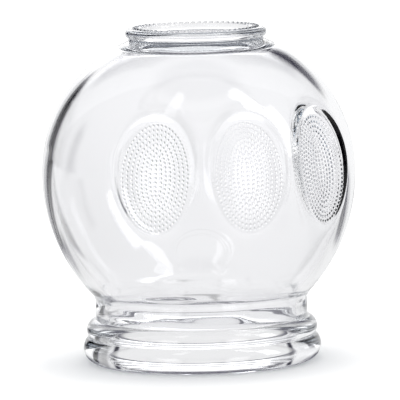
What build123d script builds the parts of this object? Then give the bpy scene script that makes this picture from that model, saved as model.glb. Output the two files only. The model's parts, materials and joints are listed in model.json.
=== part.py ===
from build123d import *
import math
import os

# Cupping glass with three thumb pads, standing on its mouth.
# Millimetres. Z is the axis of the glass and points from the mouth to the closed crown.
# The origin is on the axis, in the plane of the mouth rim.
# Azimuths are degrees from -Y towards +X.

# Driving dimensions of the globe
globe_radius = 47.5
lower_arc_excess = 5.8
upper_arc_shortfall = 4.1
wall = 3.1

# Driving dimensions of the mouth and throat
bore_radius = 28.6
throat_wall_thickness = 3.55
throat_length = 4.765
throat_straight = 0.6
waist_blend = 3.5
bore_blend = 5.0
groove_step = 2.3
rim_flare_width = 1.8
rim_flare_height = 4.0
rim_round_width = 3.2
mouth_bead_bulge = 1.65
mouth_bead_middle = 4.4
mouth_bead_height = 7.8
collar_bulge = 0.55
collar_middle_above_groove = 1.96
collar_height = 5.2

# Driving dimensions of the closed crown and its standing ring
crown_extra_thickness = 0.72
crown_corner = 7.0
crown_disc_margin = 1.0
ring_radius = 21.35
ring_undercut = 0.95
ring_straight = 0.7
ring_bulge_height = 2.05
ring_height = 3.6
bearing_shoulder = 1.65
bearing_width = 2.5
recess_round = 0.9
recess_floor_rise = 1.5
stipple_radius = 0.8
stipple_height = 0.45
stipple_gap = 0.24

# Driving dimensions of the thumb pads
pad_half_width = 10.9
pad_half_height = 16.45
pad_depth = 3.3
pad_cross_radius = 60.0
pad_long_radius = 150.0
pad_rise_above_middle = 3.3
pad_tilt_degrees = 8.5
pad_border_ratio = 1.82
bulge_border_ratio = 2.4
bulge_border_width = 1.0
slab_side_margin = 2.6
slab_end_margin = 4.6
slab_half_gap = 0.22
slab_reach = 16.3
funnel_overrun = 0.66
spool_reach = 33.0

# Sizes that follow from the driving dimensions
lower_arc_radius = globe_radius + lower_arc_excess
upper_arc_radius = globe_radius - upper_arc_shortfall
lower_centre_radius = globe_radius - lower_arc_radius
upper_centre_radius = globe_radius - upper_arc_radius
throat_radius = bore_radius + throat_wall_thickness
groove_radius = throat_radius + groove_step
collar_radius = groove_radius + collar_bulge
mouth_bead_radius = groove_radius + mouth_bead_bulge
rim_inner_radius = bore_radius + rim_flare_width
rim_outer_radius = mouth_bead_radius - rim_round_width
collar_top_height = mouth_bead_height + collar_height
throat_top_height = collar_top_height + throat_length
ring_root_radius = ring_radius - ring_undercut
bearing_outer_radius = ring_radius - bearing_shoulder
bearing_inner_radius = bearing_outer_radius - bearing_width
stipple_circle_radius = (bearing_outer_radius + bearing_inner_radius) / 2
recess_radius = bearing_inner_radius - recess_round


def waist_drop(cylinder_radius, arc_radius, blend):
    """How far below the globe's widest line the round between a vertical wall and the lower arc ends."""
    return math.sqrt((arc_radius + blend) ** 2 - (cylinder_radius + blend - lower_centre_radius) ** 2)


outer_drop = waist_drop(throat_radius, lower_arc_radius, waist_blend)
bore_drop = waist_drop(bore_radius, lower_arc_radius - wall, bore_blend)
globe_middle_height = throat_top_height + throat_straight + max(outer_drop, bore_drop)
pad_centre_height = globe_middle_height + pad_rise_above_middle
slab_half_width = pad_half_width + slab_side_margin
pad_pitch = 2 * math.degrees(math.asin((slab_half_width + slab_half_gap) / (globe_radius - wall)))
pad_azimuths = {"left": -pad_pitch / 2, "middle": pad_pitch / 2, "right": 3 * pad_pitch / 2}


def upper_height(radius, arc_radius):
    """Height of an arc above the globe's widest line, at a radius."""
    return globe_middle_height + math.sqrt(arc_radius ** 2 - (radius - upper_centre_radius) ** 2)


def radius_on_globe(height):
    """Outer radius of the plain globe at a height."""
    above = height > globe_middle_height
    centre_radius = upper_centre_radius if above else lower_centre_radius
    arc_radius = upper_arc_radius if above else lower_arc_radius
    return centre_radius + math.sqrt(arc_radius ** 2 - (height - globe_middle_height) ** 2)


def on_circle(centre, radius, turn):
    """Point on a circle of the half section at an angle from its outward radius."""
    return centre[0] + radius * math.cos(turn), centre[1] + radius * math.sin(turn)


def waist(cylinder_radius, arc_radius, blend):
    """Round between a vertical wall and the lower arc: its start, middle and end as radius and height."""
    down = waist_drop(cylinder_radius, arc_radius, blend)
    centre = (cylinder_radius + blend, globe_middle_height - down)
    across = centre[0] - lower_centre_radius
    share = arc_radius / (arc_radius + blend)
    end = (lower_centre_radius + share * across, globe_middle_height - share * down)
    half_turn = math.atan2(end[1] - centre[1], end[0] - centre[0]) / 2 + math.pi / 2
    middle = on_circle(centre, blend, half_turn)
    return (cylinder_radius, centre[1]), middle, end


def crown_fillet():
    """Round between the crown's floor and the inner arc: its start, middle and end as radius and height."""
    arc_radius = upper_arc_radius - wall
    reach = arc_radius - crown_corner
    rise = crown_floor_height - crown_corner - globe_middle_height
    across = math.sqrt(reach ** 2 - rise ** 2)
    centre = (upper_centre_radius + across, crown_floor_height - crown_corner)
    share = arc_radius / reach
    end = (upper_centre_radius + share * across, globe_middle_height + share * rise)
    half_turn = (math.atan2(end[1] - centre[1], end[0] - centre[0]) + math.pi / 2) / 2
    middle = on_circle(centre, crown_corner, half_turn)
    return (centre[0], crown_floor_height), middle, end


outer_waist = waist(throat_radius, lower_arc_radius, waist_blend)
bore_waist = waist(bore_radius, lower_arc_radius - wall, bore_blend)
ring_seat_height = upper_height(ring_root_radius, upper_arc_radius)
bearing_height = ring_seat_height + ring_height
crown_floor_height = ring_seat_height - wall - crown_extra_thickness
crown_round = crown_fillet()
crown_disc_radius = max(crown_round[2][0], ring_root_radius) + crown_disc_margin


def turned(*edges):
    """One solid of revolution from its half section, whose points are radius and height."""
    return revolve(Plane.XZ * make_face(Curve() + list(edges)), Axis.Z)


def globe_arc(arc_radius, centre_radius, start, end):
    """Arc of the globe's section between two points on it."""
    start_angle = math.atan2(start[1] - globe_middle_height, start[0] - centre_radius)
    end_angle = math.atan2(end[1] - globe_middle_height, end[0] - centre_radius)
    half_turn = (start_angle + end_angle) / 2
    middle = on_circle((centre_radius, globe_middle_height), arc_radius, half_turn)
    return ThreePointArc(start, middle, end)


def mouth_bead():
    """Thick rounded lip that stands on the skin, with its flat rim and the flare into the bore."""
    rim_inner = (rim_inner_radius, 0)
    rim_outer = (rim_outer_radius, 0)
    groove = (groove_radius, mouth_bead_height)
    bore_top = (bore_radius, mouth_bead_height)
    bore_low = (bore_radius, rim_flare_height)
    return turned(
        Line(rim_inner, rim_outer),
        ThreePointArc(rim_outer, (mouth_bead_radius, mouth_bead_middle), groove),
        Line(groove, bore_top),
        Line(bore_top, bore_low),
        TangentArc(bore_low, rim_inner, tangent=(0, -1)),
    )


def collar_bead():
    """Second, smaller bead above the groove, rounded in to the throat."""
    groove = (groove_radius, mouth_bead_height)
    widest = (collar_radius, mouth_bead_height + collar_middle_above_groove)
    throat_root = (throat_radius, collar_top_height)
    bore_top = (bore_radius, collar_top_height)
    bore_low = (bore_radius, mouth_bead_height)
    return turned(
        ThreePointArc(groove, widest, throat_root),
        Line(throat_root, bore_top),
        Line(bore_top, bore_low),
        Line(bore_low, groove),
    )


def throat_wall():
    """Straight neck between the collar and the globe."""
    return turned(*Polyline(
        (bore_radius, collar_top_height),
        (throat_radius, collar_top_height),
        (throat_radius, throat_top_height),
        (bore_radius, throat_top_height),
        close=True,
    ).edges())


def crown_disc():
    """Thick closed end of the globe, with the seat of the standing ring and the recess inside it."""
    inner_arc_radius = upper_arc_radius - wall
    floor_centre = (0, crown_floor_height)
    edge_inner = (crown_disc_radius, upper_height(crown_disc_radius, inner_arc_radius))
    edge_outer = (crown_disc_radius, upper_height(crown_disc_radius, upper_arc_radius))
    ring_root = (ring_root_radius, ring_seat_height)
    seat_inner = (recess_radius, ring_seat_height)
    recess_edge = (recess_radius, ring_seat_height + recess_floor_rise)
    recess_centre = (0, ring_seat_height + recess_floor_rise)
    return turned(
        Line(floor_centre, crown_round[0]),
        ThreePointArc(*crown_round),
        globe_arc(inner_arc_radius, upper_centre_radius, crown_round[2], edge_inner),
        Line(edge_inner, edge_outer),
        globe_arc(upper_arc_radius, upper_centre_radius, edge_outer, ring_root),
        Line(ring_root, seat_inner),
        Line(seat_inner, recess_edge),
        Line(recess_edge, recess_centre),
        Line(recess_centre, floor_centre),
    )


def stand_ring():
    """Raised ring on the crown that the glass stands on when its mouth is up."""
    root = (ring_root_radius, ring_seat_height)
    bulge_low = (ring_root_radius, ring_seat_height + ring_straight)
    bulge = (ring_radius, ring_seat_height + ring_bulge_height)
    bearing_outer = (bearing_outer_radius, bearing_height)
    bearing_inner = (bearing_inner_radius, bearing_height)
    lip = (recess_radius, bearing_height - recess_round)
    seat_inner = (recess_radius, ring_seat_height)
    return turned(
        Line(seat_inner, root),
        Line(root, bulge_low),
        ThreePointArc(bulge_low, bulge, bearing_outer),
        Line(bearing_outer, bearing_inner),
        TangentArc(bearing_inner, lip, tangent=(-1, 0)),
        Line(lip, seat_inner),
    )


def dome(radius, height):
    """Cap of a ball, flat side down on the XY plane."""
    ball_radius = (radius ** 2 + height ** 2) / (2 * height)
    ball = Pos(0, 0, height - ball_radius) * Sphere(ball_radius)
    return split(ball, Plane.XY, keep=Keep.TOP)


def stipple_beads():
    """Circle of small domes on the flat top of the standing ring."""
    bead = dome(stipple_radius, stipple_height)
    count = int(2 * math.pi * stipple_circle_radius / (2 * stipple_radius + stipple_gap))
    places = PolarLocations(stipple_circle_radius, count)
    return [Pos(0, 0, bearing_height) * place * bead for place in places]


def dish_spool(extra):
    """Waisted roller whose side is the pad's floor, or lies a given distance under it."""
    widening = pad_long_radius - math.sqrt(pad_long_radius ** 2 - spool_reach ** 2)
    end_radius = pad_cross_radius + extra + widening
    section = make_face(Curve() + [
        Line((0, -spool_reach), (end_radius, -spool_reach)),
        ThreePointArc((end_radius, -spool_reach), (pad_cross_radius + extra, 0), (end_radius, spool_reach)),
        Line((end_radius, spool_reach), (0, spool_reach)),
        Line((0, spool_reach), (0, -spool_reach)),
    ])
    return Pos(0, 0, pad_cross_radius - pad_depth) * revolve(section, Axis.Y)


def floor_height(across, along):
    """Height of the pad's floor over the pad's own plane, across and along the pad from its centre."""
    roller_radius = pad_cross_radius + pad_long_radius - math.sqrt(pad_long_radius ** 2 - along ** 2)
    return pad_cross_radius - pad_depth - math.sqrt(roller_radius ** 2 - across ** 2)


def oval_funnel(extra, spread, ratio):
    """Funnel of oval section that opens outwards from the edge of the pad's floor."""
    side_height = floor_height(pad_half_width, 0) - extra
    end_height = floor_height(0, pad_half_height) - extra
    ovals = []
    for level in (end_height - funnel_overrun, pad_depth):
        half_width = pad_half_width + spread + ratio * (level - side_height)
        half_height = pad_half_height + spread + ratio * (level - end_height)
        ovals.append(Pos(0, 0, level) * Ellipse(half_width, half_height))
    return loft(ovals, ruled=True)


def pad_place():
    """Place of a pad at azimuth zero: its plane touches the plain globe, X across and Y up the pad."""
    tilt = math.radians(pad_tilt_degrees)
    outward = Vector(0, -math.cos(tilt), math.sin(tilt))
    origin = (0, -radius_on_globe(pad_centre_height), pad_centre_height)
    return Plane(origin=origin, x_dir=(1, 0, 0), z_dir=outward).location


def pressed_hollow():
    """Space that the thumb takes up outside the pad."""
    return pad_place() * (oval_funnel(0, 0, pad_border_ratio) & dish_spool(0))


def inner_bulge():
    """Space behind the pad that its glass fills inside the globe."""
    return pad_place() * (oval_funnel(wall, bulge_border_width, bulge_border_ratio) & dish_spool(wall))


def slab_outline():
    """Oval block round one pad that parts it from the wall."""
    outline = Ellipse(slab_half_width, pad_half_height + slab_end_margin)
    return pad_place() * extrude(outline, slab_reach, both=True)


def filled_globe(inset):
    """Globe from the top of the throat to the crown disc, filled to the axis, set in by a distance."""
    cylinder_radius, waist_points = (bore_radius, bore_waist) if inset else (throat_radius, outer_waist)
    low_arc = lower_arc_radius - inset
    high_arc = upper_arc_radius - inset
    middle = (globe_radius - inset, globe_middle_height)
    top = (crown_disc_radius, upper_height(crown_disc_radius, high_arc))
    rim = (crown_disc_radius, upper_height(crown_disc_radius, upper_arc_radius))
    column = [Line(top, rim)] if inset else []
    return turned(
        Line((0, throat_top_height), (cylinder_radius, throat_top_height)),
        Line((cylinder_radius, throat_top_height), waist_points[0]),
        ThreePointArc(*waist_points),
        globe_arc(low_arc, lower_centre_radius, waist_points[2], middle),
        globe_arc(high_arc, upper_centre_radius, middle, top),
        *column,
        Line(rim, (0, rim[1])),
        Line((0, rim[1]), (0, throat_top_height)),
    )


def turn_to(azimuth, shape):
    """Shape turned about the axis of the glass to an azimuth."""
    return Rot(0, 0, azimuth) * shape


def dimpled_globe():
    """Wall of the globe from throat to crown disc, with every pad pressed in and bulging inside."""
    outer = filled_globe(0)
    inner = filled_globe(wall)
    hollow = pressed_hollow()
    bulge = inner_bulge()
    outer -= [turn_to(azimuth, hollow) for azimuth in pad_azimuths.values()]
    inner -= [turn_to(azimuth, bulge) for azimuth in pad_azimuths.values()]
    return outer - inner


def globe_nodes():
    """Pads and the two halves of the wall round them, by node name."""
    globe = dimpled_globe()
    slab = slab_outline()
    slabs = {side: turn_to(azimuth, slab) for side, azimuth in pad_azimuths.items()}
    nodes = {"thumb_pad_" + side: globe & slabs[side] for side in slabs}
    walls = globe - list(slabs.values())
    widest_line = Plane.XY.offset(globe_middle_height)
    nodes["lower_globe_wall"] = split(walls, widest_line, keep=Keep.BOTTOM)
    nodes["upper_globe_wall"] = split(walls, widest_line, keep=Keep.TOP)
    return nodes


def write_node(name, shape):
    """Writes one node's solids to its own file."""
    pieces = shape if isinstance(shape, list) else [shape]
    solids = [solid for piece in pieces for solid in piece.solids()]
    export_step(solids[0] if len(solids) == 1 else Compound(solids), f"parts/{name}.step")


def build():
    """Makes every node and writes it."""
    os.makedirs("parts", exist_ok=True)
    nodes = {
        "mouth_bead": mouth_bead(),
        "collar_bead": collar_bead(),
        "throat_wall": throat_wall(),
        "crown_disc": crown_disc(),
        "stand_ring": stand_ring(),
        "stipple_beads": stipple_beads(),
    }
    nodes.update(globe_nodes())
    for name, shape in nodes.items():
        write_node(name, shape)


if __name__ == "__main__":
    build()
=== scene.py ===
import json
import math

import bmesh
import bpy
from mathutils import Matrix, Vector

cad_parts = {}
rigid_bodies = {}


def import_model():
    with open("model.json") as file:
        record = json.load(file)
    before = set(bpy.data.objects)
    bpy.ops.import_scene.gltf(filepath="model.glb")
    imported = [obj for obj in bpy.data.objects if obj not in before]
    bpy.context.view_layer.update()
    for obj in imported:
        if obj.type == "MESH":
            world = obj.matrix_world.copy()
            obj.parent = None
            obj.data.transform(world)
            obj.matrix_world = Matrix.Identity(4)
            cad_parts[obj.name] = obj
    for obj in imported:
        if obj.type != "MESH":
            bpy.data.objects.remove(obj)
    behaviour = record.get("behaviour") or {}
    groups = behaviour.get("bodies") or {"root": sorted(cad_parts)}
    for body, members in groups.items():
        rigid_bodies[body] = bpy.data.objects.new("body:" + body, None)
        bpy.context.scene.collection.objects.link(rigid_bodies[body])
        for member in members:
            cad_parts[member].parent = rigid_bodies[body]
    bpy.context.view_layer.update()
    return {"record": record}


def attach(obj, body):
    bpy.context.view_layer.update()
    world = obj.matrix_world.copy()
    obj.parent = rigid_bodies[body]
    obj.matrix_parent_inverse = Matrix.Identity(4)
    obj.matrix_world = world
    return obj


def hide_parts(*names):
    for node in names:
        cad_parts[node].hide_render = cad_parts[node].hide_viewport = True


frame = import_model()

# Cupping glass: one seamless glass body stands for the zones of the frame.
# Shape sizes are millimetres, as a glass mould is drawn, and MM turns them to metres at the end.
# Radii are from the axis of the glass, and heights are over the rim that it stands on.
MM = 0.001

# The globe: two arcs of revolution that meet at its widest line
globe_radius = 47.5
globe_middle = 57.2
lower_arc = 53.3
upper_arc = 43.4
wall = 3.1

# The mouth and throat
bore_radius = 28.6
throat_radius = 32.15
waist_blend = 3.5
bore_blend = 5.0
rim_inner = 30.4
rim_outer = 32.9
rim_flare = 4.0
mouth_bead_radius = 36.1
mouth_bead_middle = 4.4
mouth_bead_height = 7.8
groove_radius = 34.45
groove_run = 0.12
groove_rise = 0.2
collar_radius = 35.0
collar_middle = 9.76
collar_top = 13.0
collar_foot = 0.35
collar_foot_bow = 0.1

# The crown and its standing ring
crown_floor = 93.6
crown_corner = 7.0
ring_root = 20.4
ring_radius = 21.35
ring_straight = 0.7
ring_bulge = 2.05
ring_height = 3.6
ring_foot_rise = 0.3
ring_foot_reach = 0.35
ring_foot_bow = (0.08, 0.05)
bearing_outer = 19.7
bearing_inner = 17.2
recess_radius = 16.3
recess_round = 0.9
recess_rise = 1.5
recess_foot = 0.5
recess_foot_bow = 0.15
stipple_circle = 18.45
stipple_count = 63
stipple_radius = 0.8
stipple_height = 0.45
stipple_apron = 0.06

# The thumb pads
pad_azimuths = (-18.0, 18.0, 54.0)
pad_height = 60.5
pad_tilt = 8.5
pad_depth = 3.3
pad_cross_radius = 60.0
pad_long_radius = 150.0
pad_half_width = 10.9
pad_half_height = 16.45
border_run = 1.82
floor_blend = 0.25
border_blend = 0.3
bulge_spread = 1.0
bulge_run = 2.4
bulge_blend = 1.2
pad_clearance = 0.3
dot_radius = 0.49
dot_height = 0.4
dot_apron = 0.05
dot_ring_pitch = 1.4
dot_spacing = 1.28
dot_edge_margin = 0.8

# The space round a pad that its pressing may change: lowest and highest level over the pad's plane,
# half a turn round the globe in degrees, and half width, half height and lowest level of the bulge
pad_levels = (-15.0, 3.0)
pad_half_turn = 16.5
widest_border = 6.0
bulge_zone = (20, 26, -14)

# How finely the surfaces are divided
turn_steps = 240
arc_step = 2.0
fine_step = 0.5
ring_step = 0.3
recess_step = 0.2
foot_step = 0.15
groove_step = 0.1
oval_steps = 96
oval_fine_steps = 720
parting_spacing = 0.8
level_halvings = 40
width_halvings = 30
dot_sides = 8
stipple_sides = 12
tabletop_sides = 96

# Rings of points on a dome, as shares of the angle from its top to its foot. An inset moves the
# edges of a face, which lie a little nearer its middle than its corners, so it goes this share.
dome_rings = (0.72, 0.36)
inset_share = 0.95

# Ovals of points over a pad's border: a share of the border's width, and a distance on top of it
border_ovals = ((0, -0.2), (0, 0.04), (0.2, 0.08), (0.45, 0.12), (0.7, 0.16), (0.88, 0.2),
                (1, 0.24), (1, 0.5))

# Points this near one another are joined, within a spun surface and between surfaces
spin_merge = 1e-4
seam_merge = 1e-3

# The surface of the glass, sizes and depths of its noise in metres and heights in millimetres:
# long waves all over, and chill folds that fade out above and below the middle of the throat
wave_size = 0.018
wave_depth = 0.0002
wave_strength = 0.25
fold_size = 0.036
fold_depth = 0.0016
fold_flatness = 5.0
fold_middle = 17.0
fold_full = 3.0
fold_end = 8.0

lower_centre = globe_radius - lower_arc
upper_centre = globe_radius - upper_arc


def on_arc(radius, centre, arc, side):
    """Height of a globe arc at a radius, above or below the widest line."""
    return globe_middle + side * math.sqrt(arc ** 2 - (radius - centre) ** 2)


def globe_radius_at(height):
    """Outer radius of the plain globe at a height."""
    centre, arc = (upper_centre, upper_arc) if height > globe_middle else (lower_centre, lower_arc)
    return centre + math.sqrt(arc ** 2 - (height - globe_middle) ** 2)


def waist(cylinder, arc, blend):
    """Start, middle and end of the round between a vertical wall and the lower arc."""
    across = cylinder + blend - lower_centre
    down = math.sqrt((arc + blend) ** 2 - across ** 2)
    centre = Vector((cylinder + blend, globe_middle - down))
    share = arc / (arc + blend)
    end = Vector((lower_centre + share * across, globe_middle - share * down))
    start = Vector((cylinder, centre.y))
    middle = centre + ((start + end) / 2 - centre).normalized() * blend
    return start, middle, end


def arc_through(start, middle, end, step):
    """Points along the circle through three points, without the first."""
    a, b, c = Vector(start), Vector(middle), Vector(end)
    d = 2 * (a.x * (b.y - c.y) + b.x * (c.y - a.y) + c.x * (a.y - b.y))
    squares = [p.length_squared for p in (a, b, c)]
    centre = Vector((
        (squares[0] * (b.y - c.y) + squares[1] * (c.y - a.y) + squares[2] * (a.y - b.y)) / d,
        (squares[0] * (c.x - b.x) + squares[1] * (a.x - c.x) + squares[2] * (b.x - a.x)) / d,
    ))
    radius = (a - centre).length
    first = math.atan2(a.y - centre.y, a.x - centre.x)
    turn = math.atan2(c.y - centre.y, c.x - centre.x) - first
    half = math.atan2(b.y - centre.y, b.x - centre.x) - first
    turn, half = turn % (2 * math.pi), half % (2 * math.pi)
    if half > turn:
        turn -= 2 * math.pi
    count = max(2, round(abs(turn) * radius / step))
    angles = [first + turn * i / count for i in range(1, count + 1)]
    return [centre + radius * Vector((math.cos(t), math.sin(t))) for t in angles]


def globe_arc(arc, centre, start, end, step):
    """Points along one arc of the globe, without the first."""
    first = math.atan2(start[1] - globe_middle, start[0] - centre)
    last = math.atan2(end[1] - globe_middle, end[0] - centre)
    count = max(2, round(abs(last - first) * arc / step))
    angles = [first + (last - first) * i / count for i in range(1, count + 1)]
    return [Vector((centre + arc * math.cos(t), globe_middle + arc * math.sin(t))) for t in angles]


def straight(start, end, count):
    """Points along a straight line, without the first."""
    a, b = Vector(start), Vector(end)
    return [a.lerp(b, i / count) for i in range(1, count + 1)]


ring_seat = on_arc(ring_root, upper_centre, upper_arc, 1)
bearing = ring_seat + ring_height


def outer_section():
    """Radius and height of the outside, from the middle of the crown to the rim's inner edge."""
    recess_floor = ring_seat + recess_rise
    recess_in = (recess_radius - recess_foot, recess_floor)
    recess_bow = (recess_radius - recess_foot_bow, recess_floor + recess_foot_bow)
    recess_up = (recess_radius, recess_floor + recess_foot)
    slant = math.pi / 4
    lip = (recess_radius, bearing - recess_round)
    lip_middle = (bearing_inner - (bearing_inner - recess_radius) * math.sin(slant),
                  bearing - recess_round * (1 - math.cos(slant)))
    side_bulge = (ring_radius, ring_seat + ring_bulge)
    side_low = (ring_root, ring_seat + ring_straight)
    foot_up = (ring_root, ring_seat + ring_foot_rise)
    foot_bow = (ring_root + ring_foot_bow[0], ring_seat + ring_foot_bow[1])
    foot_out = (ring_root + ring_foot_reach,
                on_arc(ring_root + ring_foot_reach, upper_centre, upper_arc, 1))
    widest = (globe_radius, globe_middle)
    waist_low, waist_middle, waist_high = waist(throat_radius, lower_arc, waist_blend)
    collar_up = (throat_radius, collar_top + collar_foot)
    collar_bow = (throat_radius + collar_foot_bow, collar_top + collar_foot_bow)
    collar_out = (throat_radius + collar_foot, collar_top)
    groove_high = (groove_radius + groove_run, mouth_bead_height + groove_rise)
    groove_low = (groove_radius + groove_run, mouth_bead_height - groove_rise)
    rim = (rim_outer, 0)

    points = [Vector((0, recess_floor))]
    points += straight((0, recess_floor), recess_in, 3)
    points += arc_through(recess_in, recess_bow, recess_up, recess_step)
    points += straight(recess_up, lip, 3)
    points += arc_through(lip, lip_middle, (bearing_inner, bearing), ring_step)
    points += straight((bearing_inner, bearing), (bearing_outer, bearing), 1)
    points += arc_through((bearing_outer, bearing), side_bulge, side_low, ring_step)
    points += straight(side_low, foot_up, 2)
    points += arc_through(foot_up, foot_bow, foot_out, foot_step)
    points += globe_arc(upper_arc, upper_centre, foot_out, widest, arc_step)
    points += globe_arc(lower_arc, lower_centre, widest, waist_high, arc_step)
    points += arc_through(waist_high, waist_middle, waist_low, fine_step)
    points += straight(waist_low, collar_up, 4)
    points += arc_through(collar_up, collar_bow, collar_out, foot_step)
    points += arc_through(collar_out, (collar_radius, collar_middle), groove_high, fine_step)
    points += arc_through(groove_high, (groove_radius, mouth_bead_height), groove_low, groove_step)
    points += arc_through(groove_low, (mouth_bead_radius, mouth_bead_middle), rim, fine_step)
    points += straight(rim, (rim_inner, 0), 3)
    return points


def inner_section():
    """Radius and height of the inside, from the rim's inner edge to the middle of the crown."""
    inner_lower, inner_upper = lower_arc - wall, upper_arc - wall
    bore_waist = waist(bore_radius, inner_lower, bore_blend)
    flare = ((rim_inner - bore_radius) ** 2 + rim_flare ** 2) / (2 * (rim_inner - bore_radius))
    flare_turn = math.asin(rim_flare / flare) / 2
    flare_middle = (bore_radius + flare * (1 - math.cos(flare_turn)),
                    rim_flare - flare * math.sin(flare_turn))
    corner_rise = crown_floor - crown_corner - globe_middle
    corner_reach = inner_upper - crown_corner
    corner = Vector((upper_centre + math.sqrt(corner_reach ** 2 - corner_rise ** 2),
                     crown_floor - crown_corner))
    share = inner_upper / corner_reach
    corner_end = Vector((upper_centre + share * (corner.x - upper_centre),
                         globe_middle + share * corner_rise))
    floor_edge = corner + Vector((0, crown_corner))
    corner_middle = corner + ((corner_end + floor_edge) / 2 - corner).normalized() * crown_corner
    middle = (globe_radius - wall, globe_middle)
    points = [Vector((rim_inner, 0))]
    points += arc_through((rim_inner, 0), flare_middle, (bore_radius, rim_flare), fine_step)
    points += straight((bore_radius, rim_flare), bore_waist[0], 4)
    points += arc_through(*bore_waist, fine_step)
    points += globe_arc(inner_lower, lower_centre, bore_waist[2], middle, arc_step)
    points += globe_arc(inner_upper, upper_centre, middle, corner_end, arc_step)
    points += arc_through(corner_end, corner_middle, floor_edge, fine_step)
    points += straight(floor_edge, (0, crown_floor), 4)
    return points


def spun(bm, section):
    """Surface of revolution of a section, added to a bmesh."""
    verts = [bm.verts.new((0, -p.x, p.y)) for p in section]
    edges = [bm.edges.new(pair) for pair in zip(verts[:-1], verts[1:])]
    bmesh.ops.spin(bm, geom=verts + edges, axis=(0, 0, 1), cent=(0, 0, 0), dvec=(0, 0, 0),
                   angle=2 * math.pi, steps=turn_steps, use_merge=True)
    bmesh.ops.remove_doubles(bm, verts=bm.verts, dist=spin_merge)


def pad_frame(azimuth):
    """Place of a pad: X across it, Y up it and Z outwards, with the origin on the plain globe."""
    turn, tilt = math.radians(azimuth), math.radians(pad_tilt)
    flat_out = Vector((math.sin(turn), -math.cos(turn), 0))
    across = Vector((math.cos(turn), math.sin(turn), 0))
    out = flat_out * math.cos(tilt) + Vector((0, 0, math.sin(tilt)))
    up = out.cross(across)
    origin = flat_out * globe_radius_at(pad_height) + Vector((0, 0, pad_height))
    place = Matrix((across, up, out)).transposed().to_4x4()
    place.translation = origin
    return place


def floor_level(x, y):
    """Level of the pad's hollow floor over the pad's own plane."""
    roller = pad_cross_radius + pad_long_radius - math.sqrt(pad_long_radius ** 2 - y ** 2)
    return pad_cross_radius - pad_depth - math.sqrt(roller ** 2 - x ** 2)


def globe_level(place, x, y):
    """Level of the plain globe over the pad's own plane."""
    low, high = pad_levels
    for _ in range(level_halvings):
        middle = (low + high) / 2
        p = place @ Vector((x, y, middle))
        below = math.hypot(p.x, p.y) < globe_radius_at(p.z)
        low, high = (middle, high) if below else (low, middle)
    return low


def soft_least(a, b, blend):
    """The lower of two levels, rounded over where they are within blend of each other."""
    near = max(blend - abs(a - b), 0) / blend
    return min(a, b) - near * near * blend / 4


def oval_point(angle, beyond):
    """Point on the edge of the pad's floor, and one beyond it, square to that edge."""
    across, along = math.cos(angle), math.sin(angle)
    edge = Vector((pad_half_width * across, pad_half_height * along))
    square = Vector((pad_half_height * across, pad_half_width * along)).normalized()
    return edge, edge + square * beyond


def border_level(place, angle, beyond):
    """Level of the pressed surface beyond the floor's edge: floor, sloping border, plain globe."""
    edge, point = oval_point(angle, beyond)
    slope = floor_level(*edge) + beyond / border_run
    floor = floor_level(*point)
    pressed = -soft_least(-floor, -slope, floor_blend)
    return soft_least(pressed, globe_level(place, *point), border_blend)


def border_width(place, angle):
    """Distance from the edge of the floor to where the sloping border meets the plain globe."""
    low, high = 0.0, widest_border
    for _ in range(width_halvings):
        beyond = (low + high) / 2
        edge, point = oval_point(angle, beyond)
        below = floor_level(*edge) + beyond / border_run < globe_level(place, *point)
        low, high = (beyond, high) if below else (low, beyond)
    return low


def loop_edges(verts):
    """Edges that join the vertices of one loop, in the same order each run."""
    ring = set(verts)
    return list(dict.fromkeys(e for v in verts for e in v.link_edges if e.other_vert(v) in ring))


def even_round(half_width, half_height, spacing):
    """Points evenly spaced along an oval, an even number of them, from its top."""
    fine = [2 * math.pi * i / oval_fine_steps for i in range(oval_fine_steps + 1)]
    oval = [Vector((half_width * math.sin(t), half_height * math.cos(t))) for t in fine]
    lengths = [0.0]
    for a, b in zip(oval[:-1], oval[1:]):
        lengths.append(lengths[-1] + (b - a).length)
    count = 2 * round(lengths[-1] / spacing / 2)
    points, at = [], 0
    for index in range(count):
        goal = lengths[-1] * index / count
        while lengths[at + 1] < goal:
            at += 1
        share = (goal - lengths[at]) / (lengths[at + 1] - lengths[at])
        points.append(oval[at].lerp(oval[at + 1], share))
    return points


def dot_rings():
    """Places of the grip dots, ring by ring inwards, each with the oval between it and the next."""
    half_width = pad_half_width - dot_edge_margin
    half_height = pad_half_height - dot_edge_margin
    rings = []
    while half_width > dot_ring_pitch:
        parting = even_round(half_width - dot_ring_pitch / 2, half_height - dot_ring_pitch / 2,
                             parting_spacing)
        rings.append((even_round(half_width, half_height, dot_spacing), parting))
        half_width -= dot_ring_pitch
        half_height -= dot_ring_pitch
    steps = int((2 * half_height - dot_ring_pitch) / dot_spacing)
    row = [Vector((0, (index - steps / 2) * dot_spacing)) for index in range(steps + 1)]
    rings.append((row, []))
    return rings


def raise_domes(bm, caps, radius, height, apron):
    """Turns flat faces into domes, each with a narrow flat apron round its foot."""
    ball = (radius ** 2 + height ** 2) / (2 * height)
    foot = math.asin(min(1, radius / ball))
    bmesh.ops.inset_individual(bm, faces=caps, thickness=apron, depth=0, use_even_offset=True)
    last_radius, last_height = radius, 0.0
    for share in dome_rings:
        now_radius = ball * math.sin(foot * share)
        level = ball * math.cos(foot * share) - (ball - height)
        inset = (last_radius - now_radius) * inset_share
        bmesh.ops.inset_individual(bm, faces=caps, thickness=inset, depth=level - last_height,
                                   use_even_offset=True)
        last_radius, last_height = now_radius, level
    bmesh.ops.poke(bm, faces=caps, offset=height - last_height)


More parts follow.
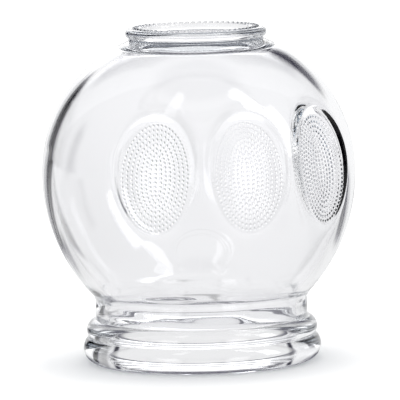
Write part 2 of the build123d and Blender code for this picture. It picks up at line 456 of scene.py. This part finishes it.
def fill_between(bm, edges):
    """Fills between loops with well-shaped triangles, seen from above."""
    made = bmesh.ops.triangle_fill(bm, use_beauty=True, edges=edges, normal=(0, 0, 1))["geom"]
    faces = [part for part in made if isinstance(part, bmesh.types.BMFace)]
    filled = set(faces)
    inner = [part for part in made
             if isinstance(part, bmesh.types.BMEdge) and set(part.link_faces) <= filled]
    bmesh.ops.beautify_fill(bm, faces=faces, edges=inner, method="ANGLE")


def dotted_fill(bm, loops, places, radius, height, apron, sides, level):
    """Fills between loops, leaving a dome at every place."""
    caps = []
    edges = list(loops)
    for place in places:
        made = bmesh.ops.create_circle(
            bm, cap_ends=True, segments=sides, radius=radius + apron,
            matrix=Matrix.Translation((place.x, place.y, 0)))["verts"]
        for vert in made:
            vert.co.z = level(vert.co.x, vert.co.y)
        edges += loop_edges(made)
        caps += made[0].link_faces
    for face in caps:
        face.normal_update()
        if face.normal.z < 0:
            face.normal_flip()
    fill_between(bm, edges)
    raise_domes(bm, caps, radius, height, apron)


def pad_loops(place):
    """Ovals of points one round another, from inside the pad's floor to just beyond its border."""
    angles = [2 * math.pi * i / oval_steps for i in range(oval_steps)]
    widths = [border_width(place, angle) for angle in angles]
    loops = []
    for share, more in border_ovals:
        loop = []
        for angle, width in zip(angles, widths):
            beyond = share * width + more
            point = oval_point(angle, beyond)[1]
            loop.append(Vector((point.x, point.y, border_level(place, angle, beyond))))
        loops.append(loop)
    return loops


def pad_patch(place, rim, ovals):
    """Pressed surface of one pad inside a rim of edges, in the pad's own frame."""
    bm = bmesh.new()
    corner = {}
    rim_edges = []
    for pair in rim:
        ends = []
        for co in pair:
            key = tuple(round(c, 4) for c in co)
            if key not in corner:
                corner[key] = bm.verts.new(co)
            ends.append(corner[key])
        rim_edges.append(bm.edges.new(ends))
    loops = []
    for oval in ovals:
        loop = [bm.verts.new(point) for point in oval]
        for a, b in zip(loop, loop[1:] + loop[:1]):
            bm.edges.new((a, b))
        if loops:
            bmesh.ops.bridge_loops(bm, edges=loop_edges(loops[-1]) + loop_edges(loop))
        loops.append(loop)
    fill_between(bm, rim_edges + loop_edges(loops[-1]))
    outer = loop_edges(loops[0])
    for places, parting in dot_rings():
        inner = [bm.verts.new((point.x, point.y, floor_level(*point))) for point in parting]
        inner = [bm.edges.new(pair) for pair in zip(inner, inner[1:] + inner[:1])]
        dotted_fill(bm, outer + inner, places, dot_radius, dot_height, dot_apron, dot_sides,
                    floor_level)
        outer = inner
    bm.transform(place)
    return bm


def add_to(bm, other):
    """Adds a second bmesh to the first and frees it."""
    carrier = bpy.data.meshes.new("carrier")
    other.to_mesh(carrier)
    other.free()
    bm.from_mesh(carrier)
    bpy.data.meshes.remove(carrier)


def press_pad(bm, azimuth):
    """Cuts a stepped hole in the plain globe and sets one pressed pad in it."""
    place = pad_frame(azimuth)
    inverse = place.inverted()
    ovals = pad_loops(place)

    def inside_outline(p):
        nearest = min(ovals[-1], key=lambda point: (point.xy - p.xy).length_squared)
        return p.z > pad_levels[0] and p.xy.length < nearest.xy.length + pad_clearance

    gone = []
    for face in bm.faces:
        middle = face.calc_center_median()
        off = math.degrees(math.atan2(middle.x, -middle.y)) - azimuth
        if abs(off) < pad_half_turn and any(inside_outline(inverse @ v.co) for v in face.verts):
            gone.append(face)
    bmesh.ops.delete(bm, geom=gone, context="FACES")
    rim = [[inverse @ v.co for v in edge.verts] for edge in bm.edges if len(edge.link_faces) == 1]
    rim = [ends for ends in rim
           if ends[0].z > pad_levels[0] and abs(ends[0].y) < 2 * pad_half_height]
    add_to(bm, pad_patch(place, rim, ovals))
    bmesh.ops.remove_doubles(bm, verts=bm.verts, dist=seam_merge)


def stipple_patch():
    """Flat top of the standing ring with its circle of small domes."""
    bm = bmesh.new()
    loops = []
    for radius in (bearing_outer, bearing_inner):
        made = bmesh.ops.create_circle(
            bm, cap_ends=False, segments=turn_steps, radius=radius,
            matrix=Matrix.Translation((0, 0, bearing)))["verts"]
        loops += loop_edges(made)
    turns = [2 * math.pi * i / stipple_count for i in range(stipple_count)]
    places = [Vector((stipple_circle * math.cos(t), stipple_circle * math.sin(t))) for t in turns]
    dotted_fill(bm, loops, places, stipple_radius, stipple_height, stipple_apron, stipple_sides,
                lambda x, y: bearing)
    return bm


def outside():
    """Outer surface: crown, globe with its pads, beads and rim."""
    bm = bmesh.new()
    spun(bm, outer_section())
    flat = [f for f in bm.faces if all(abs(v.co.z - bearing) < seam_merge for v in f.verts)]
    bmesh.ops.delete(bm, geom=flat, context="FACES")
    add_to(bm, stipple_patch())
    bmesh.ops.remove_doubles(bm, verts=bm.verts, dist=seam_merge)
    for azimuth in pad_azimuths:
        press_pad(bm, azimuth)
    return bm


def bulge_level(x, y):
    """Level of the inner surface behind the pad, over the pad's own plane."""
    spread = math.hypot(x / pad_half_width, y / pad_half_height)
    if spread < 1:
        return floor_level(x, y) - wall
    reach = math.hypot(x, y)
    beyond = reach * (1 - 1 / spread) - bulge_spread
    edge = floor_level(x / spread, y / spread)
    return edge - wall + max(beyond, 0) / bulge_run


def inside():
    """Inner surface, with a soft bulge behind every pad."""
    bm = bmesh.new()
    spun(bm, inner_section())
    half_width, half_height, lowest = bulge_zone
    for azimuth in pad_azimuths:
        place = pad_frame(azimuth)
        inverse = place.inverted()
        for vert in bm.verts:
            p = inverse @ vert.co
            if p.z > lowest and abs(p.x) < half_width and abs(p.y) < half_height:
                level = soft_least(p.z, bulge_level(p.x, p.y), bulge_blend)
                vert.co = place @ Vector((p.x, p.y, level))
    return bm


def glass_body(material):
    """The whole glass as one closed mesh."""
    bm = outside()
    add_to(bm, inside())
    bmesh.ops.remove_doubles(bm, verts=bm.verts, dist=seam_merge)
    bmesh.ops.recalc_face_normals(bm, faces=bm.faces)
    bm.transform(Matrix.Scale(MM, 4))
    open_edges = sum(1 for e in bm.edges if len(e.link_faces) != 2)
    print("glass body: faces", len(bm.faces), "open edges", open_edges,
          "triangles", sum(len(f.verts) - 2 for f in bm.faces), "volume ml", bm.calc_volume() * 1e6)
    for face in bm.faces:
        face.smooth = True
    mesh = bpy.data.meshes.new("glass_body")
    bm.to_mesh(mesh)
    bm.free()
    mesh.materials.append(material)
    body = bpy.data.objects.new("glass_body", mesh)
    bpy.context.scene.collection.objects.link(body)
    return body


def linear(code):
    """Linear colour of an sRGB hex code."""
    parts = [int(code[i:i + 2], 16) / 255 for i in (1, 3, 5)]
    return [c / 12.92 if c <= 0.04045 else ((c + 0.055) / 1.055) ** 2.4 for c in parts] + [1.0]


def add(tree, kind, inputs=(), **settings):
    """Adds a node, sets it and its inputs, and links any input that is given as a socket."""
    made = tree.nodes.new(kind)
    for name, value in settings.items():
        setattr(made, name, value)
    for key, value in dict(inputs).items():
        if isinstance(value, bpy.types.NodeSocket):
            tree.links.new(value, made.inputs[key])
        else:
            made.inputs[key].default_value = value
    return made


def soda_lime_glass():
    """Clear soda-lime glass, pressed and blown: bright, with a faint cool tint where it is thick,
    long shallow waves left by the mould as the surface chilled, and flat chill folds in the
    throat."""
    material = bpy.data.materials.new("soda_lime_glass_pressed")
    material.use_nodes = True
    tree = material.node_tree
    tree.nodes.clear()
    where = add(tree, "ShaderNodeTexCoord").outputs["Object"]
    waves = add(tree, "ShaderNodeTexNoise", {
        "Vector": where, "Scale": 1 / wave_size, "Detail": 1.0})
    bump = add(tree, "ShaderNodeBump", {
        "Height": waves.outputs["Fac"], "Strength": wave_strength, "Distance": wave_depth})
    height = add(tree, "ShaderNodeSeparateXYZ", {0: where}).outputs["Z"]
    off = add(tree, "ShaderNodeMath", {0: height, 1: fold_middle * MM}, operation="SUBTRACT")
    off = add(tree, "ShaderNodeMath", {0: off.outputs[0]}, operation="ABSOLUTE")
    near = add(tree, "ShaderNodeMapRange", {
        "Value": off.outputs[0], "From Min": fold_end * MM, "From Max": fold_full * MM},
        interpolation_type="SMOOTHSTEP")
    flat = add(tree, "ShaderNodeMapping", {"Vector": where, "Scale": (1.0, 1.0, fold_flatness)})
    folds = add(tree, "ShaderNodeTexNoise", {
        "Vector": flat.outputs[0], "Scale": 1 / fold_size, "Detail": 1.0})
    bump = add(tree, "ShaderNodeBump", {
        "Height": folds.outputs["Fac"], "Strength": near.outputs[0], "Distance": fold_depth,
        "Normal": bump.outputs["Normal"]})
    glass = add(tree, "ShaderNodeBsdfPrincipled", {
        "Base Color": linear("#FEFEFF"), "Roughness": 0.0, "IOR": 1.52, "Transmission Weight": 1.0,
        "Normal": bump.outputs["Normal"]})
    clear = add(tree, "ShaderNodeBsdfTransparent", {"Color": linear("#EAEBEC")})
    path = add(tree, "ShaderNodeLightPath")
    mix = add(tree, "ShaderNodeMixShader", {
        0: path.outputs["Is Shadow Ray"], 1: glass.outputs["BSDF"], 2: clear.outputs["BSDF"]})
    tint = add(tree, "ShaderNodeVolumeAbsorption", {"Color": linear("#C6CED6"), "Density": 10.0})
    add(tree, "ShaderNodeOutputMaterial", {
        "Surface": mix.outputs["Shader"], "Volume": tint.outputs["Volume"]})
    return material


def by_ray(tree, through, value):
    """A level, or one level through the glass and another in reflections on it."""
    if not isinstance(value, tuple):
        return value
    return add(tree, "ShaderNodeMix", {0: through, 2: value[1], 3: value[0]},
               data_type="FLOAT").outputs[0]


def panel(tree, angles, through, level, azimuth, elevation, half_width, half_height, value, edge):
    """Lays one soft-edged panel of light or dark over a level. Angles are degrees seen from the
    glass: azimuth 0 is behind it and grows to the right, and elevation is under 0 on the table."""
    near = []
    for angle, centre, half in zip(angles, (azimuth, elevation), (half_width, half_height)):
        off = add(tree, "ShaderNodeMath", {0: angle, 1: centre}, operation="SUBTRACT")
        if angle == angles[0]:
            off = add(tree, "ShaderNodeMath", {0: off.outputs[0], 1: -180.0, 2: 180.0},
                      operation="WRAP")
        size = add(tree, "ShaderNodeMath", {0: off.outputs[0]}, operation="ABSOLUTE")
        near.append(add(tree, "ShaderNodeMapRange", {
            "Value": size.outputs[0], "From Min": half + edge, "From Max": half - edge},
            interpolation_type="SMOOTHSTEP"))
    both = add(tree, "ShaderNodeMath", {0: near[0].outputs[0], 1: near[1].outputs[0]},
               operation="MULTIPLY")
    return add(tree, "ShaderNodeMix", {
        0: both.outputs[0], 2: level, 3: by_ray(tree, through, value)},
        data_type="FLOAT").outputs[0]


def azimuth_of(tree, axes):
    """Azimuth in degrees of a place or direction, 0 behind the glass."""
    turn = add(tree, "ShaderNodeMath", {0: axes.outputs["X"], 1: axes.outputs["Y"]},
               operation="ARCTAN2")
    return add(tree, "ShaderNodeMath", {0: turn.outputs[0]}, operation="DEGREES").outputs[0]


def kinds_of_ray(tree):
    """Camera rays, rays from the glass, and those among these that came through it."""
    kinds = add(tree, "ShaderNodeLightPath").outputs
    both = add(tree, "ShaderNodeMath", {0: kinds["Is Glossy Ray"], 1: kinds["Is Transmission Ray"]},
               operation="MAXIMUM")
    return kinds["Is Camera Ray"], both.outputs[0], kinds["Is Transmission Ray"]


def cool_dark(tree, level):
    """Colour of the studio: white where it is bright, a cool violet grey where it is dark."""
    bright = add(tree, "ShaderNodeMath", {0: level, 1: 1 / white_from}, operation="MULTIPLY")
    return add(tree, "ShaderNodeMix", {
        0: bright.outputs[0], 6: linear("#CCC8F0"), 7: linear("#FFFFFF")},
        data_type="RGBA").outputs[2]


# The level from which the studio is white, and what matt surfaces see all round
white_from = 0.5
fill_level = 0.85

# Middle azimuth and elevation, half width and half height in degrees, level, and softness of the
# edge in degrees. A pair of levels is what shows through the glass and in reflections on it.
studio_level = (0.9, 0.45)
studio_panels = {
    "white backdrop": (0, 2, 29, 24, 1.05, 4),
    "dark ceiling behind": (0, 44, 40, 16, 0.15, 4),
    "dark ceiling overhead": (0, 82, 181, 14, 0.15, 5),
    "bright band on the backdrop": (-2, 14, 12, 6, 2.3, 3),
    "pale wall on the right": (45, 4, 32, 12, 1.0, 4),
    "grey wall on the left": (-42, 4, 12, 14, 0.5, 4),
    "dark gap on the left": (-27, 5, 6.5, 14, 0.0, 2.5),
    "dark gap over the wall": (22, 21, 8, 9, 0.08, 3),
    "gap at the right screen": (68, 5, 4, 14, 0.05, 3),
    "gap at the left screen": (-68, 5, 4, 14, 0.05, 3),
    "gap beside the right lamp": (124, 5, 4, 14, 0.05, 3),
    "gap beside the left lamp": (-115, 5, 4, 14, 0.05, 3),
    "right softbox": (108, 28, 9, 17, 5.5, 2),
    "right window": (118, 56, 8, 12, 4.0, 1.5),
    "left window": (-148, 60, 7, 12, 2.3, 1.5),
    "dark room behind the camera": (180, 2, 26, 22, (0.9, 0.05), 5),
    "gap behind the camera on the right": (158, 5, 3, 14, 0.1, 3),
    "gap behind the camera on the left": (-158, 5, 3, 14, 0.1, 3),
    "low lamp on the left": (-144, 9, 10, 8, 2.2, 3),
    "low lamp on the right": (144, 9, 10, 8, 2.2, 3),
}

# The tabletop in metres: its size, its gap under the glass, and how far out it fades into white
tabletop_radius = 3.0
tabletop_gap = 0.0002
fade_start = 0.1
fade_end = 0.6
fade_lift = 0.35

# Its painted light and shade, which only the glass sees: a level, and panels laid over it. Their
# elevation is that of a place on it, seen from the middle of the globe.
tabletop_level = 0.9
floor_panels = {
    "white sweep behind": (0, -4, 62, 14, 0.94, 8),
    "sweep at the backdrop": (0, 3, 30, 8, 1.03, 7),
    "shade on the left": (-22, -16, 16, 14, 0.88, 8),
    "spot of shade behind the crown": (1, -27, 4, 1.6, 0.5, 1.2),
    "dim sides": (180, -18, 118, 22, (0.9, 0.6), 6),
    # painted shade: the front of the tabletop, dark in reflections on the glass
    "painted shade in front": (180, -10, 60, 16, (0.9, 0.25), 6),
    # painted shade: dark strips on the tabletop beside the glass, seen through it
    "dark gap on the left": (-32, -9, 7, 13, 0.0, 3),
    "painted shade low on the left": (-44, -27, 5, 6, 0.3, 4),
    "painted shade strip on the right": (44, -14, 5.5, 9, 0.05, 3),
    "shade at the rim": (0, -60, 181, 3.5, 0.2, 2),
}


def studio_world():
    """White surroundings for the camera. The glass sees a studio of softboxes and dark gaps."""
    world = bpy.data.worlds.new("studio")
    bpy.context.scene.world = world
    world.use_nodes = True
    tree = world.node_tree
    tree.nodes.clear()
    where = add(tree, "ShaderNodeTexCoord")
    axes = add(tree, "ShaderNodeSeparateXYZ", {0: where.outputs["Generated"]})
    rise = add(tree, "ShaderNodeMath", {0: axes.outputs["Z"]}, operation="ARCSINE")
    rise = add(tree, "ShaderNodeMath", {0: rise.outputs[0]}, operation="DEGREES")
    angles = (azimuth_of(tree, axes), rise.outputs[0])
    camera, glass, through = kinds_of_ray(tree)
    level = by_ray(tree, through, studio_level)
    for values in studio_panels.values():
        level = panel(tree, angles, through, level, *values)
    seen = add(tree, "ShaderNodeMix", {0: glass, 2: fill_level, 3: level}, data_type="FLOAT")
    shown = add(tree, "ShaderNodeMix", {0: camera, 2: seen.outputs[0], 3: 1.0}, data_type="FLOAT")
    light = add(tree, "ShaderNodeBackground", {
        "Color": cool_dark(tree, shown.outputs[0]), "Strength": shown.outputs[0]})
    add(tree, "ShaderNodeOutputWorld", {"Surface": light.outputs["Background"]})


def white_floor():
    """Plain pale tabletop, matt, that keeps the shadow of the glass and runs out into white. The
    glass sees instead an emission of painted light and shade on it.
    """
    material = bpy.data.materials.new("matt_white_tabletop")
    material.use_nodes = True
    tree = material.node_tree
    tree.nodes.clear()
    matt = add(tree, "ShaderNodeBsdfDiffuse", {"Color": linear("#F0F0F0")})
    where = add(tree, "ShaderNodeTexCoord").outputs["Object"]
    axes = add(tree, "ShaderNodeSeparateXYZ", {0: where})
    away = add(tree, "ShaderNodeVectorMath", {0: where}, operation="LENGTH").outputs["Value"]
    drop = add(tree, "ShaderNodeMath", {0: -globe_middle * MM, 1: away}, operation="ARCTAN2")
    drop = add(tree, "ShaderNodeMath", {0: drop.outputs[0]}, operation="DEGREES")
    angles = (azimuth_of(tree, axes), drop.outputs[0])
    camera, glass, through = kinds_of_ray(tree)
    level = by_ray(tree, through, tabletop_level)
    for values in floor_panels.values():
        level = panel(tree, angles, through, level, *values)
    far = add(tree, "ShaderNodeMapRange", {
        "Value": away, "From Min": fade_start, "From Max": fade_end, "To Min": 0.0,
        "To Max": fade_lift}, interpolation_type="SMOOTHSTEP")
    lift = add(tree, "ShaderNodeMath", {0: camera, 1: far.outputs[0]}, operation="MULTIPLY")
    white = add(tree, "ShaderNodeEmission", {
        "Color": linear("#FFFFFF"), "Strength": lift.outputs[0]})
    bare = add(tree, "ShaderNodeAddShader", {0: matt.outputs[0], 1: white.outputs[0]})
    # painted light and shade: the glass sees this emission of the tabletop, not its lit matt
    # surface
    painted_glow = add(tree, "ShaderNodeEmission", {"Color": cool_dark(tree, level), "Strength": level})
    table = add(tree, "ShaderNodeMixShader", {0: glass, 1: bare.outputs[0], 2: painted_glow.outputs[0]})
    add(tree, "ShaderNodeOutputMaterial", {"Surface": table.outputs[0]})
    bm = bmesh.new()
    bmesh.ops.create_circle(bm, cap_ends=True, segments=tabletop_sides, radius=tabletop_radius)
    mesh = bpy.data.meshes.new("tabletop")
    bm.to_mesh(mesh)
    bm.free()
    mesh.materials.append(material)
    floor = bpy.data.objects.new("tabletop", mesh)
    floor.location.z = -tabletop_gap
    bpy.context.scene.collection.objects.link(floor)


def soft_lamp(name, place, size, power):
    """Square soft lamp that faces the glass and casts its shadow, with no reflection of its own."""
    light = bpy.data.lights.new(name, "AREA")
    light.size = size
    light.energy = power
    lamp = bpy.data.objects.new(name, light)
    lamp.location = place
    aim = Vector((0, 0, lamp_aim)) - Vector(place)
    lamp.rotation_euler = aim.to_track_quat("-Z", "Y").to_euler()
    bpy.context.scene.collection.objects.link(lamp)
    lamp.visible_glossy = False
    lamp.visible_transmission = False


# Height in metres that the lamp is aimed at
lamp_aim = 0.05

# The camera stands in front and a little above, with a long lens and a slight lean. Angles are in
# degrees and lengths in metres, but the sensor's width is in millimetres.
camera_azimuth = -1.1
camera_elevation = 6.55
camera_lean = 1.23
camera_distance = 1.408
camera_aim = (0.0002, 0.0, 0.0485)
view_angle = 4.93
sensor_width = 36.0


def photograph_camera():
    """Camera at the photograph's angle, framed for a square picture."""
    turn, rise = math.radians(camera_azimuth), math.radians(camera_elevation)
    back = Vector((math.sin(turn) * math.cos(rise), -math.cos(turn) * math.cos(rise),
                   math.sin(rise)))
    data = bpy.data.cameras.new("camera")
    data.sensor_width = sensor_width
    data.lens = sensor_width / 2 / math.tan(math.radians(view_angle) / 2)
    data.clip_start, data.clip_end = 0.05, 20.0
    camera = bpy.data.objects.new("camera", data)
    camera.location = Vector(camera_aim) + back * camera_distance
    lean = Matrix.Rotation(math.radians(-camera_lean), 4, "Z")
    upright = (-back).to_track_quat("-Z", "Y").to_matrix().to_4x4()
    camera.rotation_euler = (upright @ lean).to_euler()
    bpy.context.scene.collection.objects.link(camera)
    bpy.context.scene.camera = camera


bpy.context.scene.view_settings.view_transform = "Standard"
# Light in thick clear glass turns back from its inner faces many times before it leaves
glass_bounces = 24
for kind in ("max_bounces", "glossy_bounces", "transmission_bounces"):
    setattr(bpy.context.scene.cycles, kind, glass_bounces)
photograph_camera()
studio_world()
white_floor()
soft_lamp("top_softbox", (0.03, 0.1, 0.9), 0.5, 5.6)

body = glass_body(soda_lime_glass())
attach(body, "root")
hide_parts(*[piece["node"] for piece in frame["record"]["subparts"]])
